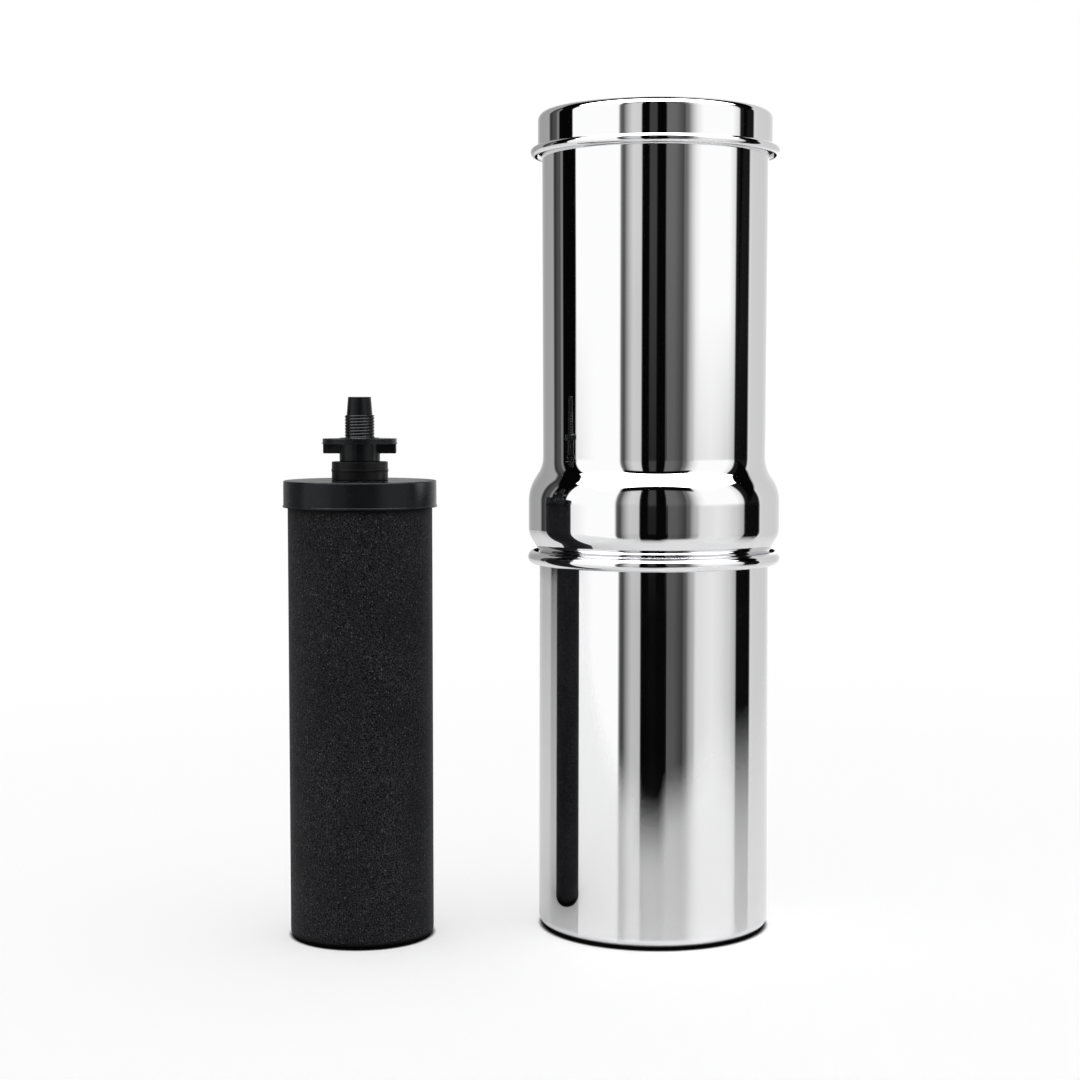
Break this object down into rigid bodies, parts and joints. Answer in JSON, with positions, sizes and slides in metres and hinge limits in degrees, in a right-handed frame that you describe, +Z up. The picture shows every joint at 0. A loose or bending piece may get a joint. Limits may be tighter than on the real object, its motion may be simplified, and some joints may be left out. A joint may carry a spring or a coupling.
{
  "type": "gravity water filter",
  "caption": "Stacked polished steel chambers under a rolled-edge lid, a carbon filter element hung through the upper floor by its wing nut, and its twin standing alongside.",
  "frame": {"origin": "centre of the lower chamber's flat base, on the surface that it stands on", "axes": "+Z up along the chambers' common axis; -Y to the front; the free-standing element is on the -X side"},
  "size_m": [0.2298, 0.1178, 0.3791],
  "materials": {
    "polished_stainless": "polished",
    "pressed_carbon": "matte",
    "moulded_black": "satin",
    "black_rubber": "satin",
    "potting_adhesive": "matte"
  },
  "bodies": {
    "lower_chamber": {"lower_vessel": "polished_stainless"},
    "upper_chamber": {"upper_vessel": "polished_stainless", "fitted_carbon_block": "pressed_carbon", "fitted_bond": "potting_adhesive", "fitted_end_cap": "moulded_black", "fitted_inner_washer": "black_rubber"},
    "lid": {"lid": "polished_stainless"},
    "fitted_washer": {"fitted_outer_washer": "black_rubber"},
    "fitted_nut": {"fitted_wing_nut": "moulded_black"},
    "standing_element": {"standing_carbon_block": "pressed_carbon", "standing_bond": "potting_adhesive", "standing_end_cap": "moulded_black", "standing_inner_washer": "black_rubber"},
    "standing_washer": {"standing_outer_washer": "black_rubber"},
    "standing_nut": {"standing_wing_nut": "moulded_black"}
  },
  "joints": [
    {"name": "upper_lift", "type": "slide", "parent": "lower_chamber", "child": "upper_chamber", "axis": [0, 0, 1], "range_m": [0, 0.07]},
    {"name": "lid_lift", "type": "slide", "parent": "upper_chamber", "child": "lid", "axis": [0, 0, 1], "range_m": [0, 0.04]},
    {"name": "fitted_nut_travel", "type": "slide", "parent": "upper_chamber", "child": "fitted_washer", "axis": [0, 0, -1], "range_m": [0, 0.0195]},
    {"name": "fitted_nut_turn", "type": "hinge", "parent": "fitted_washer", "child": "fitted_nut", "pos_m": [0, 0, 0.149], "axis": [0, 0, -1], "range_deg": [0, 5040]},
    {"name": "standing_lift", "type": "slide", "parent": "lower_chamber", "child": "standing_element", "axis": [0, 0, 1], "range_m": [0, 0.06]},
    {"name": "standing_nut_travel", "type": "slide", "parent": "standing_element", "child": "standing_washer", "axis": [0, 0, 1], "range_m": [0, 0.0195]},
    {"name": "standing_nut_turn", "type": "hinge", "parent": "standing_washer", "child": "standing_nut", "pos_m": [-0.1359, -0.0193, 0.224], "axis": [0, 0, 1], "range_deg": [0, 5040]}
  ],
  "couplings": [
    {"joint": "fitted_nut_travel", "follows": "fitted_nut_turn", "m_per_rad": 0.00021963},
    {"joint": "standing_nut_travel", "follows": "standing_nut_turn", "m_per_rad": 0.00021963}
  ]
}
